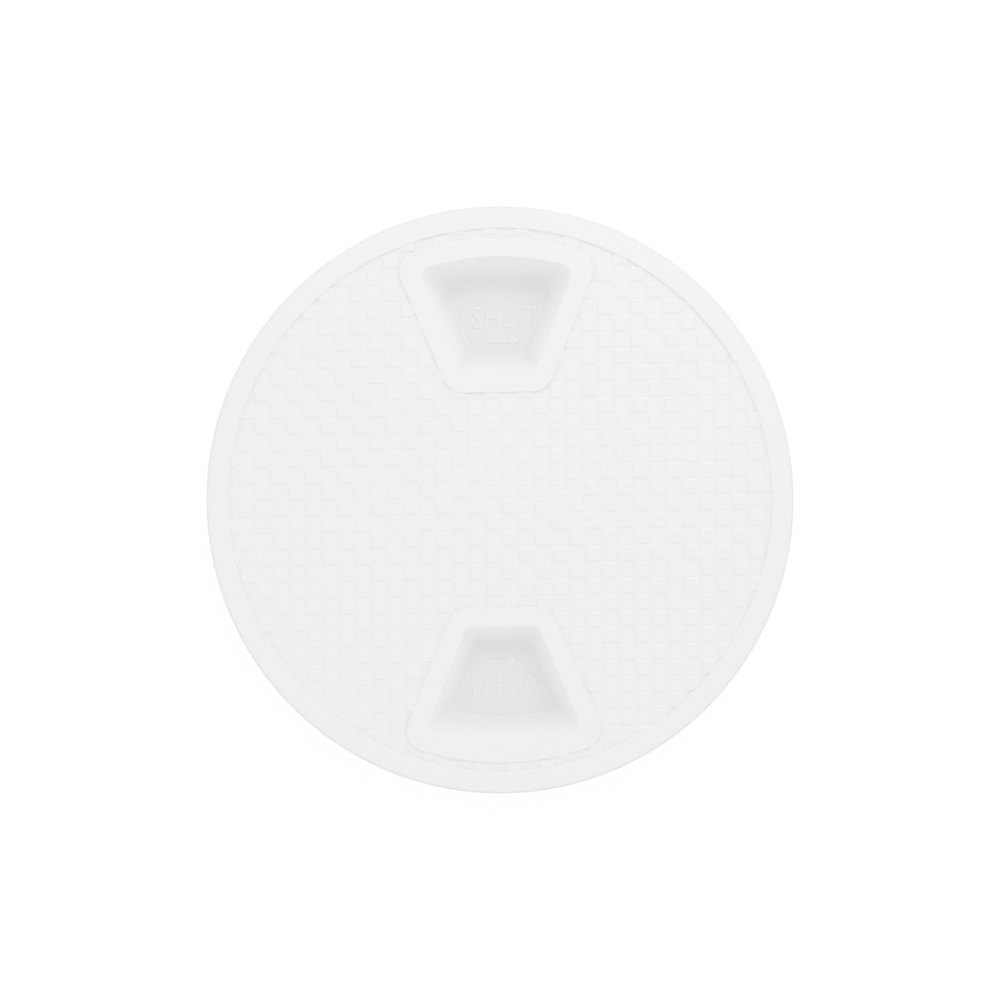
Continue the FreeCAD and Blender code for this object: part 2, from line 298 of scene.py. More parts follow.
def end_of_tree(tree, instances, material, result):
    """Makes the copies real and gives them their material, as the export needs."""
    real = tree.nodes.new("GeometryNodeRealizeInstances")
    finish = tree.nodes.new("GeometryNodeSetMaterial")
    tree.links.new(instances, real.inputs["Geometry"])
    tree.links.new(real.outputs["Geometry"], finish.inputs["Geometry"])
    tree.links.new(material, finish.inputs["Material"])
    tree.links.new(finish.outputs["Geometry"], result)


def grown(name, tree, values):
    """An object whose mesh a geometry tree makes from the given inputs."""
    piece = new_piece(name, [], [])
    nodes = piece.modifiers.new("nodes", "NODES")
    nodes.node_group = tree
    for item in tree.interface.items_tree:
        if item.in_out == "INPUT":
            nodes[item.identifier] = values[item.name]
    return made_plain(piece)


round_tree, given, result = new_tree("Round the axis", [
    ("Piece", "Object"), ("Count", "Int"), ("First turn", "Float"),
    ("Copies in a rise", "Float"), ("Lift", "Float"), ("Material", "Material"),
])
number = round_tree.nodes.new("GeometryNodeInputIndex").outputs[0]
step_turn = maths(round_tree, "DIVIDE", math.tau, given["Count"])
turn = maths(round_tree, "MULTIPLY_ADD", number, step_turn, given["First turn"])
place_in_rise = maths(round_tree, "FLOORED_MODULO", number, given["Copies in a rise"])
lift = maths(round_tree, "MULTIPLY", place_in_rise, given["Lift"])
height = round_tree.nodes.new("ShaderNodeCombineXYZ")
heading = round_tree.nodes.new("ShaderNodeCombineXYZ")
spin = round_tree.nodes.new("FunctionNodeEulerToRotation")
spots = round_tree.nodes.new("GeometryNodePoints")
source = round_tree.nodes.new("GeometryNodeObjectInfo")
copies = round_tree.nodes.new("GeometryNodeInstanceOnPoints")
for start, end in (
    (lift, height.inputs["Z"]),
    (turn, heading.inputs["Z"]),
    (heading.outputs[0], spin.inputs[0]),
    (given["Count"], spots.inputs["Count"]),
    (height.outputs[0], spots.inputs["Position"]),
    (given["Piece"], source.inputs["Object"]),
    (spots.outputs[0], copies.inputs["Points"]),
    (source.outputs["Geometry"], copies.inputs["Instance"]),
    (spin.outputs[0], copies.inputs["Rotation"]),
):
    round_tree.links.new(start, end)
end_of_tree(round_tree, copies.outputs[0], given["Material"], result[0])


def repeated(name, piece, count, first_turn=0.0, copies_in_rise=1.0, lift=0.0):
    """Copies of a piece round the axis as one mesh. The pattern piece is used up."""
    ring = grown(name, round_tree, {
        "Piece": piece, "Count": count, "First turn": math.radians(first_turn),
        "Copies in a rise": copies_in_rise, "Lift": lift * MM, "Material": None,
    })
    removed(piece)
    return ring


print("tree:", round_tree.name)

# %% [markdown]
# The body of the lid is turned: plate, smooth rim, the lip that hides the flange, and the
# skirt that carries the thread. Each corner of its section is a radius, a height and a round.
# The outer edge has the largest round, which draws the thin grey line at the outline.

# %% Turn the body of the lid
lid = turned("lid_moulding", [
    (0, LOW_Z, 0),
    (RIM_INNER, LOW_Z, 0.2),
    (RIM_INNER, RIM_Z, 0.35),
    (LID_RADIUS, RIM_Z, 1.6),
    (LID_RADIUS, LIP_Z, 0.4),
    (LIP_RADIUS, LIP_Z, 0.4),
    (LIP_RADIUS, BRIM_Z, 0.5),
    (PLUG_RADIUS, BRIM_Z, 0.2),
    (PLUG_RADIUS, SKIRT_Z, 0.6),
    (SKIRT_INNER, SKIRT_Z, 0.6),
    (SKIRT_INNER, BRIM_Z, 1.0),
    (0, BRIM_Z, 0),
])
tally(lid)

# %% [markdown]
# Ribs stiffen the plate from below, and meet in a ring round the middle. One rib is made
# with a narrower foot, as draft for the mould, and the node tree sets the rest round it.

# %% Ribs and their hub
ROOT_DEPTH = 1.5             # how far ribs and cups reach up into the plate
FOOT_HALF = 0.3              # half a rib's width at its foot, as a share of its thickness
SHOULDER_HALF = 0.42         # the same at the shoulder just above the foot
SHOULDER_RISE = 0.25         # from the foot up to that shoulder
HUB_ROUND = 0.3
rib_low, rib_high = BRIM_Z - RIB_DEPTH, BRIM_Z + ROOT_DEPTH
rib_reach = SKIRT_INNER + SKIRT_WALL / 2


def rib_outline(half):
    """A rib seen from above, from the hub to the skirt."""
    return [(HUB_RADIUS, -half), (rib_reach, -half), (rib_reach, half), (HUB_RADIUS, half)]


rib = lofted("rib", [
    (rib_outline(RIB_THICKNESS * FOOT_HALF), rib_low),
    (rib_outline(RIB_THICKNESS * SHOULDER_HALF), rib_low + SHOULDER_RISE),
    (rib_outline(RIB_THICKNESS * 0.5), rib_high),
])
ribs = repeated("ribs", rib, RIB_COUNT)
hub_inner, hub_outer = HUB_RADIUS - RIB_THICKNESS / 2, HUB_RADIUS + RIB_THICKNESS / 2
hub = turned("hub", [
    (hub_inner, rib_low, HUB_ROUND),
    (hub_outer, rib_low, HUB_ROUND),
    (hub_outer, rib_high, 0),
    (hub_inner, rib_high, 0),
])
combined(lid, "UNION", [hub, ribs])
tally(lid)

# %% [markdown]
# Each pocket is a trapezoid whose wide end follows the rim. The same outline, moved in or
# out, gives the raised border, the cup that hangs below the plate and the hollow itself, so
# the walls stay even. The hollow flares at its mouth and is rounded at its floor.

# %% The outline that all forms of a pocket share
CORNER_STEPS = 8
WIDE_STEPS = 28


def outline(inset, near_inset, narrow_corner=NARROW_CORNER, wide_corner=WIDE_CORNER):
    """A pocket's outline on the +Y side, moved in by inset, at its narrow end by near_inset."""
    tangent, cosine = math.tan(POCKET_LEAN), math.cos(POCKET_LEAN)
    near, outer = POCKET_NEAR + near_inset, POCKET_OUTER - inset
    offset = POCKET_NARROW - tangent * POCKET_NEAR - inset / cosine
    narrow_y = near + narrow_corner
    narrow_x = tangent * narrow_y + offset - narrow_corner / cosine
    # the wide corner's centre is where a circle inside the arc meets a line inside the side
    ring = outer - wide_corner
    line = offset - wide_corner / cosine
    half = tangent * line
    square = 1 + tangent**2
    wide_y = (-half + math.sqrt(half**2 - square * (line**2 - ring**2))) / square
    wide_x = tangent * wide_y + line
    arc_end = math.atan2(wide_y, wide_x)

    def corner(x, y, radius, first, last):
        """Points round one corner's centre, from one angle to another."""
        turns = [first + (last - first) * step / CORNER_STEPS for step in range(CORNER_STEPS + 1)]
        return [(x + radius * math.cos(turn), y + radius * math.sin(turn)) for turn in turns]

    right = corner(narrow_x, narrow_y, narrow_corner, -math.pi / 2, -POCKET_LEAN)
    right += corner(wide_x, wide_y, wide_corner, -POCKET_LEAN, arc_end)
    arc = []
    for step in range(1, WIDE_STEPS):
        turn = arc_end + (math.pi - 2 * arc_end) * step / WIDE_STEPS
        arc.append((outer * math.cos(turn), outer * math.sin(turn)))
    return right + arc + [(-x, y) for x, y in reversed(right)]


print("outline of", len(outline(0, 0)), "points")

# %% [markdown]
# Seen from above, a border is the smooth raised land round a pocket's mouth. Seen from below,
# a cup closes the pocket, its wall as thick everywhere, with a large round at its foot.

# %% Borders and cups
BORDER_ROUND = 0.35
BORDER_SUNK = 1.0            # how far a border reaches down into the plate
CUP_ROUND = 2.2


def quarter(radius, steps=5):
    """Pairs of (in, down) for a rounded edge, from its upright side to its flat side."""
    turns = [math.pi / 2 * step / steps for step in range(steps + 1)]
    return [(radius * (1 - math.cos(turn)), radius * (1 - math.sin(turn))) for turn in turns]


def level(depth, extra, corner_extra=0.0, wall=0.0):
    """A pocket's outline at a depth below the rim, or a wall's thickness outside it."""
    insets = []
    for slope in (POCKET_SLOPE_IN, POCKET_SLOPE_NEAR):
        lean_in = slope / POCKET_DEPTH
        insets.append(lean_in * depth - wall * math.hypot(1, lean_in) + extra)
    corners = (NARROW_CORNER + corner_extra + wall, WIDE_CORNER + corner_extra + wall)
    return outline(*insets, *corners), RIM_Z - depth


def border_level(inwards, height):
    """A border's outline, moved in, at a height."""
    inset, corner = inwards - BORDER_WIDTH, BORDER_CORNER - inwards
    return outline(inset, inset, corner, corner), height


border_levels = [border_level(0.0, LOW_Z - BORDER_SUNK)]
border_levels += [border_level(inwards, RIM_Z - down) for inwards, down in quarter(BORDER_ROUND)]
border = lofted("border", border_levels)

cup_levels = []
for inwards, down in reversed(quarter(CUP_ROUND)):
    cup_levels.append(level(POCKET_DEPTH + POCKET_WALL - down, inwards, 0.0, POCKET_WALL))
cup_levels.append(level(RIM_Z - LOW_Z + ROOT_DEPTH, 0.0, 0.0, POCKET_WALL))
cup = lofted("cup", cup_levels)
combined(lid, "UNION", [half_turned(border), border, half_turned(cup), cup])
tally(lid)

# %% [markdown]
# The tread is a board of raised squares: a pad on every second square of a grid, wherever
# the low field shows. That is a rule, so nodes follow it. Pads at the edge run on into the
# rim and the borders, which are higher, and the boolean swallows what is buried. The pads'
# sides slope more gently than the solids' do, so they show as the soft lines of the photograph.

# %% One pad, and the tree that lays the tread
PAD_CORNER = 0.3
PAD_ROUND = 0.3
PAD_SUNK = 1.2               # how far a pad reaches down into the plate


def square_outline(half, corner):
    """A small square with rounded corners."""
    points = []
    for quadrant in range(4):
        for step in range(3):
            turn = math.pi / 2 * (quadrant + step / 2)
            x = half - corner + corner * math.cos(turn - math.pi / 2 * quadrant)
            y = half - corner + corner * math.sin(turn - math.pi / 2 * quadrant)
            for _ in range(quadrant):
                x, y = -y, x
            points.append((x, y))
    return points


pad_base = (TREAD_PITCH - TREAD_GAP) / 2
pad_levels = [(square_outline(pad_base, PAD_CORNER), LOW_Z + up) for up in (-PAD_SUNK, 0.0)]
slope = (TREAD_BEVEL - PAD_ROUND / 2) / TREAD_HEIGHT
for inwards, down in quarter(PAD_ROUND, 3):
    up = TREAD_HEIGHT - down
    pad_levels.append((square_outline(pad_base - slope * up - inwards, PAD_CORNER), LOW_Z + up))
pad = lofted("pad", pad_levels)

tread_tree, given, result = new_tree("Tread", [
    ("Pad", "Object"), ("Pitch", "Float"), ("Squares", "Int"), ("Overlap", "Float"),
    ("Rim radius", "Float"), ("Pocket near", "Float"), ("Pocket narrow", "Float"),
    ("Pocket outer", "Float"), ("Side slope", "Float"), ("Border", "Float"),
    ("Side border", "Float"), ("Shift X", "Float"), ("Shift Y", "Float"), ("Material", "Material"),
])


def on_tread(operation, *values):
    """A Math node in the tread's tree."""
    return maths(tread_tree, operation, *values)


board = tread_tree.nodes.new("GeometryNodeMeshGrid")
place = tread_tree.nodes.new("ShaderNodeSeparateXYZ")
whereabouts = tread_tree.nodes.new("GeometryNodeInputPosition")
tread_tree.links.new(whereabouts.outputs[0], place.inputs[0])
board_size = on_tread("MULTIPLY", given["Pitch"], on_tread("SUBTRACT", given["Squares"], 1.0))
for label, value in (("Size X", board_size), ("Size Y", board_size),
                     ("Vertices X", given["Squares"]), ("Vertices Y", given["Squares"])):
    tread_tree.links.new(value, board.inputs[label])
column = on_tread("FLOOR", on_tread("DIVIDE", place.outputs["X"], given["Pitch"]))
row = on_tread("FLOOR", on_tread("DIVIDE", place.outputs["Y"], given["Pitch"]))
parity = on_tread("FLOORED_MODULO", on_tread("ADD", column, row), 2.0)
shift = tread_tree.nodes.new("ShaderNodeCombineXYZ")
moved = tread_tree.nodes.new("GeometryNodeTransform")
tread_tree.links.new(given["Shift X"], shift.inputs["X"])
tread_tree.links.new(given["Shift Y"], shift.inputs["Y"])
x = on_tread("ADD", place.outputs["X"], given["Shift X"])
y = on_tread("ADD", place.outputs["Y"], given["Shift Y"])
across, along = on_tread("ABSOLUTE", x), on_tread("ABSOLUTE", y)
radius = on_tread("SQRT", on_tread("ADD", on_tread("MULTIPLY", x, x), on_tread("MULTIPLY", y, y)))
overlap = given["Overlap"]
in_rim = on_tread("LESS_THAN", radius, on_tread("ADD", given["Rim radius"], overlap))
past_near = on_tread("SUBTRACT", along, given["Pocket near"])
half_width = on_tread("MULTIPLY_ADD", past_near, given["Side slope"], given["Pocket narrow"])
border_side = on_tread("SUBTRACT", on_tread("ADD", half_width, given["Side border"]), overlap)
beside = on_tread("GREATER_THAN", across, border_side)
near_edge = on_tread("ADD", on_tread("SUBTRACT", given["Pocket near"], given["Border"]), overlap)
short_of = on_tread("LESS_THAN", along, near_edge)
far_edge = on_tread("SUBTRACT", on_tread("ADD", given["Pocket outer"], given["Border"]), overlap)
beyond = on_tread("GREATER_THAN", radius, far_edge)
off_border = on_tread("MAXIMUM", on_tread("MAXIMUM", beside, short_of), beyond)
chosen = on_tread("MULTIPLY", on_tread("MULTIPLY", parity, in_rim), off_border)
pad_source = tread_tree.nodes.new("GeometryNodeObjectInfo")
pads_placed = tread_tree.nodes.new("GeometryNodeInstanceOnPoints")
for start, end in (
    (given["Pad"], pad_source.inputs["Object"]),
    (board.outputs["Mesh"], pads_placed.inputs["Points"]),
    (chosen, pads_placed.inputs["Selection"]),
    (pad_source.outputs["Geometry"], pads_placed.inputs["Instance"]),
    (pads_placed.outputs[0], moved.inputs["Geometry"]),
    (shift.outputs[0], moved.inputs["Translation"]),
):
    tread_tree.links.new(start, end)
end_of_tree(tread_tree, moved.outputs[0], given["Material"], result[0])
print("tree:", tread_tree.name)

# %% [markdown]
# The tree now gets this plate's sizes. It keeps every pad that still shows, and the result
# joins the lid in one union.

# %% Lay the tread and unite it with the plate
PAD_OVERLAP = 2.0            # with its middle this far under rim or border a pad still shows
squares = 2 * (int(RIM_INNER / TREAD_PITCH) + 1)
tread = grown("tread", tread_tree, {
    "Pad": pad, "Pitch": TREAD_PITCH * MM, "Squares": squares, "Overlap": PAD_OVERLAP * MM,
    "Rim radius": RIM_INNER * MM, "Pocket near": POCKET_NEAR * MM,
    "Pocket narrow": POCKET_NARROW * MM, "Pocket outer": POCKET_OUTER * MM,
    "Side slope": math.tan(POCKET_LEAN), "Border": BORDER_WIDTH * MM,
    "Side border": BORDER_WIDTH / math.cos(POCKET_LEAN) * MM,
    "Shift X": TREAD_SHIFT[0] * MM, "Shift Y": TREAD_SHIFT[1] * MM, "Material": None,
})
pad_count = len(tread.data.vertices) // len(pad.data.vertices)
removed(pad)
combined(lid, "UNION", [tread])
print(pad_count, "pads")
tally(lid)

# %% [markdown]
# A screw thread is a section carried along a helix. The lid has two long ridges, one for each
# start, and the ring has short lugs on the same helix, because a mould can draw those. Each
# ridge runs out gently at both ends, as it does on a plate that has to find its start.

# %% Thread ridges on the skirt
RUN_OUT_STEPS = 5
CREST_ROUND = 0.3


def ridge(name, wall, side, top_z, begin, turns):
    """A length of right-hand ridge on a wall, outward with side 1 and inward with side -1."""
    steps = math.ceil(turns * ROUND_STEPS)
    flank = (THREAD_ROOT - THREAD_CREST) / 2 / THREAD_HEIGHT
    points = []
    for step in range(steps + 1):
        turn = begin + turns * step / steps
        up = top_z - THREAD_LEAD * (THREAD_TURNS - turn)
        share = min(1.0, (step + 0.5) / RUN_OUT_STEPS, (steps - step + 0.5) / RUN_OUT_STEPS)
        grown_height = THREAD_HEIGHT * share
        section = []
        for out, half in (
            (-THREAD_SINK, THREAD_ROOT / 2 + flank * THREAD_SINK),
            (grown_height - CREST_ROUND, THREAD_ROOT / 2 - flank * (grown_height - CREST_ROUND)),
            (grown_height, THREAD_ROOT / 2 - flank * grown_height - CREST_ROUND / 2),
        ):
            section.append((wall + side * out, half))
        loop = [(across, -half) for across, half in section]
        loop += [(across, half) for across, half in reversed(section)]
        angle = math.tau * turn
        points += [
            (across * math.cos(angle), across * math.sin(angle), up + rise) for across, rise in loop
        ]
    return new_piece(name, points, banded(steps + 1, len(loop), True))


lid_ridge = ridge("ridge", PLUG_RADIUS, 1, LID_THREAD_Z, 0, THREAD_TURNS)
combined(lid, "UNION", [repeated("ridges", lid_ridge, THREAD_STARTS)])
tally(lid)

# %% [markdown]
# The pockets are cut last, through border, plate and cup. The cutter narrows towards its foot
# and is rounded there, and it flares at the top, which rounds the edge of the mouth.

# %% Cut the pockets
MOUTH_ROUND = 0.35
FLOOR_ROUND = 1.2
CUTTER_ABOVE = 1.0           # how far the cutter stands above the rim
hollow_levels = [
    level(POCKET_DEPTH - down, inwards) for inwards, down in reversed(quarter(FLOOR_ROUND))
]
hollow_levels += [level(down, -outwards, outwards) for outwards, down in quarter(MOUTH_ROUND)]
hollow_levels.append((hollow_levels[-1][0], RIM_Z + CUTTER_ABOVE))
hollow = lofted("hollow", hollow_levels)
combined(lid, "DIFFERENCE", [half_turned(hollow), hollow])
shaded(lid)
tally(lid)

# %% [markdown]
# The mounting ring hides under the lid's brim: a flange with countersunk screw holes, a
# recess for the seal, and a collar that passes through the deck with the thread lugs inside.

# %% The mounting ring
ring = turned("ring_moulding", [
    (BORE_RADIUS, COLLAR_Z, 0.5),
    (COLLAR_RADIUS, COLLAR_Z, 0.8),
    (COLLAR_RADIUS, 0, 0.3),
    (FLANGE_RADIUS, 0, 0.2),
    (FLANGE_RADIUS, FLANGE_TOP, 0.7),
    (RECESS_RADIUS, FLANGE_TOP, 0.3),
    (RECESS_RADIUS, SEAT_Z, 0.2),
    (BORE_RADIUS, SEAT_Z, 0.3),
])
lug_turns = LUG_ARC / 360
lugs_in_rise = LUG_COUNT // THREAD_STARTS
first_lug = THREAD_TURNS / 2 / lugs_in_rise - lug_turns / 2
lug = ridge("lug", BORE_RADIUS, -1, RING_THREAD_Z, first_lug, lug_turns)
lug_lift = THREAD_LEAD * THREAD_TURNS / lugs_in_rise
lugs = repeated("lugs", lug, LUG_COUNT, 0.0, lugs_in_rise, lug_lift)

HOLE_STEPS = 40
DRILL_BELOW = 1.0            # how far a hole's cutter stands out below the flange
DRILL_ABOVE = 0.4            # and above it
DRILL_FLARE = 0.1            # how much wider it is up there
sink = (SCREW_HEAD - SCREW_HOLE) / 2


def circle(radius):
    """A circle of points at a screw's place."""
    turns = [math.tau * step / HOLE_STEPS for step in range(HOLE_STEPS)]
    return [(SCREW_CIRCLE + radius * math.cos(turn), radius * math.sin(turn)) for turn in turns]


screw_hole = lofted("screw_hole", [
    (circle(SCREW_HOLE / 2), -DRILL_BELOW),
    (circle(SCREW_HOLE / 2), FLANGE_TOP - sink),
    (circle(SCREW_HEAD / 2), FLANGE_TOP),
    (circle(SCREW_HEAD / 2 + DRILL_FLARE), FLANGE_TOP + DRILL_ABOVE),
])
holes = repeated("holes", screw_hole, SCREW_COUNT, 360 / SCREW_COUNT / 2)
combined(ring, "UNION", [lugs])
combined(ring, "DIFFERENCE", [holes])
shaded(ring)
tally(ring)

# %% [markdown]
# The seal is a soft rubber ring of nearly square section with a shallow groove in its faces,
# which lets it flatten as the lid comes down on it.

# %% The seal ring
GROOVE_HALF = 0.5
GROOVE_DEPTH = 0.3
seal_middle = (SEAL_INNER + SEAL_OUTER) / 2
seal = turned("seal_rubber_ring", [
    (SEAL_INNER, SEAL_LOW, 0.6),
    (seal_middle - 2 * GROOVE_HALF, SEAL_LOW, 0.2),
    (seal_middle - GROOVE_HALF, SEAL_LOW + GROOVE_DEPTH, 0.2),
    (seal_middle + GROOVE_HALF, SEAL_LOW + GROOVE_DEPTH, 0.2),
    (seal_middle + 2 * GROOVE_HALF, SEAL_LOW, 0.2),
    (SEAL_OUTER, SEAL_LOW, 0.6),
    (SEAL_OUTER, SEAL_TOP, 0.6),
    (seal_middle + 2 * GROOVE_HALF, SEAL_TOP, 0.2),
    (seal_middle + GROOVE_HALF, SEAL_TOP - GROOVE_DEPTH, 0.2),
    (seal_middle - GROOVE_HALF, SEAL_TOP - GROOVE_DEPTH, 0.2),
    (seal_middle - 2 * GROOVE_HALF, SEAL_TOP, 0.2),
    (SEAL_INNER, SEAL_TOP, 0.6),
])
shaded(seal)
tally(seal)

# %% [markdown]
# A word on each pocket's floor says which way to turn, with an arrow beside it. They stand
# 0.3 mm proud of the floor. Blender's own plain face gives the letters: the curve gets a
# thickness and a small bevel, becomes a mesh, and is then set to its size and place.

# %% Raised words and arrows
WORD_HEIGHT = 0.3
WORD_SUNK = 0.1


def raised(name, curve, width, length, centre, facing):
    """A curve made solid, set to a size and put on a pocket's floor, facing +Y or -Y."""
    curve.dimensions = "2D"
    curve.fill_mode = "BOTH"
    holder = bpy.data.objects.new(name, curve)
    bpy.context.scene.collection.objects.link(holder)
    bpy.context.view_layer.update()
    evaluated = holder.evaluated_get(bpy.context.evaluated_depsgraph_get())
    shape = bpy.data.meshes.new_from_object(evaluated)
    bpy.data.objects.remove(holder)
    work = bmesh.new()
    work.from_mesh(shape)
    bmesh.ops.remove_doubles(work, verts=work.verts, dist=1e-5)
    low = [min(vertex.co[axis] for vertex in work.verts) for axis in range(3)]
    high = [max(vertex.co[axis] for vertex in work.verts) for axis in range(3)]
    for vertex in work.verts:
        share = [(vertex.co[axis] - low[axis]) / (high[axis] - low[axis]) for axis in range(3)]
        vertex.co.x = (centre[0] + facing * (share[0] - 0.5) * width) * MM
        vertex.co.y = (centre[1] + facing * (share[1] - 0.5) * length) * MM
        vertex.co.z = (FLOOR_Z - WORD_SUNK + share[2] * (WORD_HEIGHT + WORD_SUNK)) * MM
    bmesh.ops.recalc_face_normals(work, faces=work.faces)
    work.to_mesh(shape)
    work.free()
    shape.materials.clear()
    piece = bpy.data.objects.new(name, shape)
    bpy.context.scene.collection.objects.link(piece)
    return tally(shaded(piece, 30.0))


def word(name, text, width, length, centre, facing):
    """A raised word in thin, slightly spaced capitals."""
    letters = bpy.data.curves.new(name, "FONT")
    letters.body = text
    letters.resolution_u = 6
    letters.space_character = 1.12
    letters.offset = -0.012  # thins the strokes
    letters.extrude = 0.03
    letters.bevel_depth = 0.012
    letters.bevel_resolution = 1
    return raised(name, letters, width, length, centre, facing)


def arrow(name, width, length, centre, facing, points_to):
    """An arrow with a slim shaft, whose head is at the end that points_to names, 1 or -1."""
    shaft, barb, neck = 0.09, 0.36, 0.45
    spots = [(-1, -shaft), (neck, -shaft), (neck, -barb), (1, 0), (neck, barb), (neck, shaft),
             (-1, shaft)]
    drawing = bpy.data.curves.new(name, "CURVE")
    line = drawing.splines.new("POLY")
    line.points.add(len(spots) - 1)
    for spot, (along, aside) in zip(line.points, spots):
        spot.co = (along * points_to, aside, 0, 1)
    line.use_cyclic_u = True
    drawing.extrude = 0.03
    drawing.bevel_depth = 0.02
    drawing.bevel_resolution = 1
    return raised(name, drawing, width, length, centre, facing)


words = [
    word("word_shut", "SHUT", 27.6, 9.4, (3.1, 79.1), 1),
    word("word_open", "OPEN", 27.8, 9.8, (0.9, -80.0), -1),
    arrow("arrow_shut", 13.4, 4.4, (2.7, 68.7), 1, 1),
    arrow("arrow_open", 13.4, 4.4, (0.0, -69.7), -1, -1),
]

# %% [markdown]
# Moulded plastic is never one flat colour: its skin has a fine spark-eroded grain, and its
# tone and gloss drift a little over a hand's width. One shader group gives these drifts, and
# each material sets its own values. The shader itself stays in the material.

# %% A shader group for moulded skins
def new_skin():
    """The group: a drifting tone, a grained gloss and the grain's height."""
    group = bpy.data.node_groups.new("Moulded skin", "ShaderNodeTree")
    for label, kind in (
        ("Light tone", "Color"), ("Dark tone", "Color"), ("Smooth", "Float"), ("Rough", "Float"),
        ("Grain scale", "Float"), ("Drift scale", "Float"),
    ):
        group.interface.new_socket(label, in_out="INPUT", socket_type="NodeSocket" + kind)
    for label, kind in (("Tone", "Color"), ("Roughness", "Float"), ("Height", "Float")):
        group.interface.new_socket(label, in_out="OUTPUT", socket_type="NodeSocket" + kind)
    given = group.nodes.new("NodeGroupInput").outputs
    result = group.nodes.new("NodeGroupOutput").inputs
    place = group.nodes.new("ShaderNodeTexCoord").outputs["Object"]
    drift = group.nodes.new("ShaderNodeTexNoise")
    grain = group.nodes.new("ShaderNodeTexNoise")
    pores = group.nodes.new("ShaderNodeTexVoronoi")
    tone = group.nodes.new("ShaderNodeMix")
    gloss = group.nodes.new("ShaderNodeMapRange")
    tone.data_type = "RGBA"
    drift.inputs["Detail"].default_value = 3.0
    grain.inputs["Detail"].default_value = 4.0
    grain.inputs["Roughness"].default_value = 0.65
    relief = maths(group, "MULTIPLY_ADD", pores.outputs["Distance"], 0.35, grain.outputs["Fac"])
    tone_out = next(socket for socket in tone.outputs if socket.type == "RGBA")
    for start, end in (
        (place, drift.inputs["Vector"]),
        (place, grain.inputs["Vector"]),
        (place, pores.inputs["Vector"]),
        (given["Drift scale"], drift.inputs["Scale"]),
        (given["Grain scale"], grain.inputs["Scale"]),
        (given["Grain scale"], pores.inputs["Scale"]),
        (drift.outputs["Fac"], tone.inputs["Factor"]),
        (given["Light tone"], tone.inputs["A"]),
        (given["Dark tone"], tone.inputs["B"]),
        (grain.outputs["Fac"], gloss.inputs["Value"]),
        (given["Smooth"], gloss.inputs["To Min"]),
        (given["Rough"], gloss.inputs["To Max"]),
        (tone_out, result["Tone"]),
        (gloss.outputs["Result"], result["Roughness"]),
        (relief, result["Height"]),
    ):
        group.links.new(start, end)
    return group


moulded_skin = new_skin()


def skinned(name, light, dark, smooth, rough, grain_scale, drift_scale, bump, depth):
    """A material that wears the moulded skin, whose relief is a depth in millimetres."""
    material = bpy.data.materials.new(name)
    material.use_nodes = True
    tree = material.node_tree
    shader = tree.nodes["Principled BSDF"]
    skin = tree.nodes.new("ShaderNodeGroup")
    skin.node_tree = moulded_skin
    for label, value in (
        ("Light tone", (*light, 1)), ("Dark tone", (*dark, 1)),
        ("Smooth", smooth), ("Rough", rough),
        ("Grain scale", grain_scale), ("Drift scale", drift_scale),
    ):
        skin.inputs[label].default_value = value
    relief = tree.nodes.new("ShaderNodeBump")
    relief.inputs["Strength"].default_value = bump
    relief.inputs["Distance"].default_value = depth * MM
    tree.links.new(skin.outputs["Tone"], shader.inputs["Base Color"])
    tree.links.new(skin.outputs["Roughness"], shader.inputs["Roughness"])
    tree.links.new(skin.outputs["Height"], relief.inputs["Height"])
    tree.links.new(relief.outputs["Normal"], shader.inputs["Normal"])
    shader.inputs["IOR"].default_value = 1.5
    print("material:", name)
    return material


# %% [markdown]
# There are four finishes. The lid is a neutral white and the ring, out of the sun, a slightly
# rougher and warmer one. The raised words are the same plastic as the lid, a little smoother,
# with a paler tone painted on: a painted highlight for the light their raised tops catch.
# The seal is dull black rubber.

# %% Finishes
white_lid = skinned(
    "white_lid_plastic", light=(0.875, 0.875, 0.875), dark=(0.855, 0.855, 0.855),
    smooth=0.34, rough=0.5, grain_scale=2600, drift_scale=14, bump=0.25, depth=0.02,
)
white_ring = skinned(
    "white_ring_plastic", light=(0.86, 0.86, 0.855), dark=(0.835, 0.836, 0.83),
    smooth=0.42, rough=0.58, grain_scale=1800, drift_scale=18, bump=0.3, depth=0.03,
)
# the words' paler tone is a painted highlight for the extra light their raised tops catch
painted_light_word = skinned(
    "painted_light_word_plastic", light=(0.897, 0.897, 0.897), dark=(0.877, 0.877, 0.877),
    smooth=0.3, rough=0.42, grain_scale=2600, drift_scale=14, bump=0.15, depth=0.02,
)
black_rubber = skinned(
    "seal_rubber_skin", light=(0.022, 0.022, 0.023), dark=(0.012, 0.012, 0.013),
    smooth=0.55, rough=0.8, grain_scale=1400, drift_scale=30, bump=0.4, depth=0.04,
)
finishes = [(lid, white_lid), (ring, white_ring), (seal, black_rubber)]
finishes += [(item, painted_light_word) for item in words]
for piece, finish in finishes:
    piece.data.materials.clear()
    piece.data.materials.append(finish)

# %% [markdown]
# Each piece now rides on the CAD body that carries it, and the solid it stands for is hidden.
# The words ride with the lid, since they are moulded in its pockets.

# %% Join the pieces to the frame
for piece, body, node, slot in (
    (lid, "lid", "lid", "lid_plastic"),
    (ring, "mounting_ring", "mounting_ring", "ring_plastic"),
    (seal, "seal", "seal_ring", "seal_rubber"),
):
    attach(piece, body)
    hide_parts(node)
for item in words:
    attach(item, "lid")
print("pieces:", 3 + len(words))

# %% [markdown]
# The floor is plain and pale. To the camera it is nearly pure white, as in the photograph,
# through Light Path, while a share of its true shading stays so that a shadow still shows.
# Its own grey throws only a little light up at the object.

# %% Floor
GROUND_Z = COLLAR_Z
FLOOR_REACH = 3000           # from the middle to each side
FLOOR_GREY = 0.3
GLOW_STRENGTH = 1.18         # with its share of the floor's shading this makes white
GLOW_SHARE = 0.8


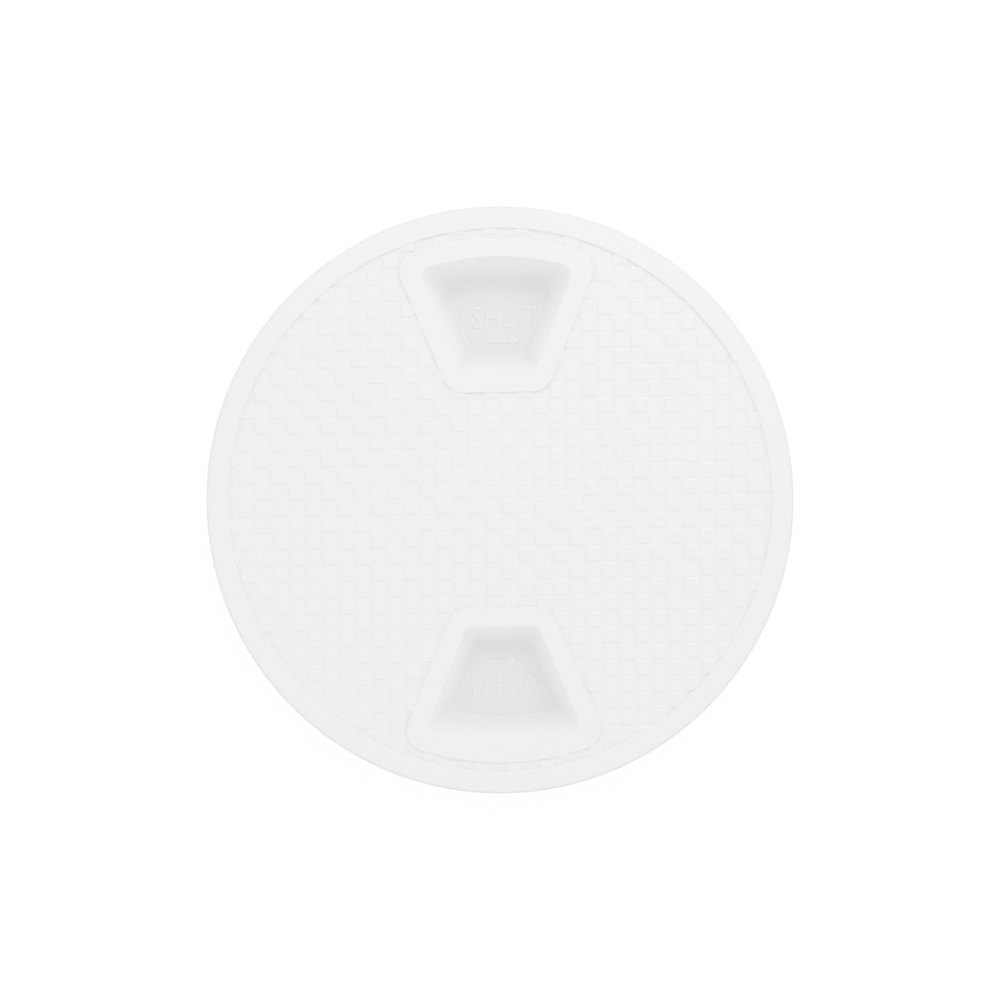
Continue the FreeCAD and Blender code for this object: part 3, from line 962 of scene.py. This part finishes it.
def seen(tree):
    """1 for a ray that comes from the camera, also by way of gloss or glass."""
    path = tree.nodes.new("ShaderNodeLightPath")
    bare = maths(tree, "MAXIMUM", path.outputs["Is Camera Ray"], path.outputs["Is Glossy Ray"])
    return maths(tree, "MAXIMUM", bare, path.outputs["Is Transmission Ray"])


sides = ((-1, -1), (1, -1), (1, 1), (-1, 1))
floor_corners = [(x * FLOOR_REACH, y * FLOOR_REACH, GROUND_Z) for x, y in sides]
floor = new_piece("floor", floor_corners, [(0, 1, 2, 3)])
pale = bpy.data.materials.new("pale_floor")
pale.use_nodes = True
nodes, links = pale.node_tree.nodes, pale.node_tree.links
plain = nodes["Principled BSDF"]
plain.inputs["Base Color"].default_value = (FLOOR_GREY, FLOOR_GREY, FLOOR_GREY, 1)
plain.inputs["Roughness"].default_value = 0.9
glow = nodes.new("ShaderNodeEmission")
glow.inputs["Strength"].default_value = GLOW_STRENGTH
blend = nodes.new("ShaderNodeMixShader")
for start, end in (
    (maths(pale.node_tree, "MULTIPLY", seen(pale.node_tree), GLOW_SHARE), blend.inputs[0]),
    (plain.outputs[0], blend.inputs[1]),
    (glow.outputs[0], blend.inputs[2]),
    (blend.outputs[0], nodes["Material Output"].inputs["Surface"]),
):
    links.new(start, end)
floor.data.materials.append(pale)
print("floor at", GROUND_Z, "mm")

# %% [markdown]
# The photograph was lit from all sides, with a little more light from its top edge. The world
# gives the first. Its light changes with height, as in a light tent that stands on a table: it
# is dim down at the table, which draws the thin grey line along the outline, brightest low on
# the walls and softer towards the roof, so the pocket floors come out a little darker than the
# rim. The camera, gloss and glass see a plain white backdrop instead. One large soft lamp gives
# the second.

# %% Light
SKY_STRENGTH = 1.345
SKY_BANDS = ((0.0, 0.25), (0.06, 0.4), (0.12, 1.0), (1.0, 0.51))  # height in the sky, grey
LAMP_SIZE = 0.6
LAMP_POWER = 1.36            # in watts
LAMP_PLACE = (0.24, 0.72, 0.80)
world = bpy.data.worlds.new("studio")
world.use_nodes = True
nodes, links = world.node_tree.nodes, world.node_tree.links
sky = nodes["Background"]
sky.inputs["Strength"].default_value = SKY_STRENGTH
direction = nodes.new("ShaderNodeTexCoord")
parts = nodes.new("ShaderNodeSeparateXYZ")
bands = nodes.new("ShaderNodeValToRGB")
for up, grey in SKY_BANDS[1:-1]:
    bands.color_ramp.elements.new(up)
for stop, (up, grey) in zip(bands.color_ramp.elements, SKY_BANDS):
    stop.color = (grey, grey, grey, 1)
backdrop = nodes.new("ShaderNodeBackground")
backdrop.inputs["Color"].default_value = (1, 1, 1, 1)
blend = nodes.new("ShaderNodeMixShader")
for start, end in (
    (direction.outputs["Generated"], parts.inputs[0]),
    (parts.outputs["Z"], bands.inputs[0]),
    (bands.outputs["Color"], sky.inputs["Color"]),
    (seen(world.node_tree), blend.inputs[0]),
    (sky.outputs[0], blend.inputs[1]),
    (backdrop.outputs[0], blend.inputs[2]),
    (blend.outputs[0], nodes["World Output"].inputs["Surface"]),
):
    links.new(start, end)
bpy.context.scene.world = world
lamp_data = bpy.data.lights.new("soft_key", "AREA")
lamp_data.shape = "DISK"
lamp_data.size = LAMP_SIZE
lamp_data.energy = LAMP_POWER
lamp = bpy.data.objects.new("soft_key", lamp_data)
lamp.location = LAMP_PLACE
lamp.rotation_euler = (-lamp.location).to_track_quat("-Z", "Y").to_euler()
bpy.context.scene.collection.objects.link(lamp)
bpy.context.scene.view_settings.view_transform = "Standard"
print("sky bands:", len(SKY_BANDS), "and one lamp")

# %% [markdown]
# The camera looks straight down from about 0.39 m above the lid, the distance at which the
# pocket floors appear as much smaller as they do in the photograph. A small roll turns the
# object a little to the left in the picture, as it lay for the photographer.

# %% Camera
VIEW_HEIGHT = 0.386          # from the lid's top
VIEW_WIDTH = 0.4181          # what the picture spans there
SENSOR_WIDTH = 36
ROLL = math.radians(-0.95)
camera_data = bpy.data.cameras.new("camera")
camera_data.sensor_width = SENSOR_WIDTH
camera_data.lens = SENSOR_WIDTH * VIEW_HEIGHT / VIEW_WIDTH
camera_data.clip_start = 0.01
camera = bpy.data.objects.new("camera", camera_data)
camera.location = (0.0, 0.0, RIM_Z * MM + VIEW_HEIGHT)
camera.rotation_euler = (0, 0, ROLL)
bpy.context.scene.collection.objects.link(camera)
bpy.context.scene.camera = camera
print("lens", round(camera_data.lens, 2), "mm")

# %% [markdown] The visible pieces have to fill the same box as the solids do.
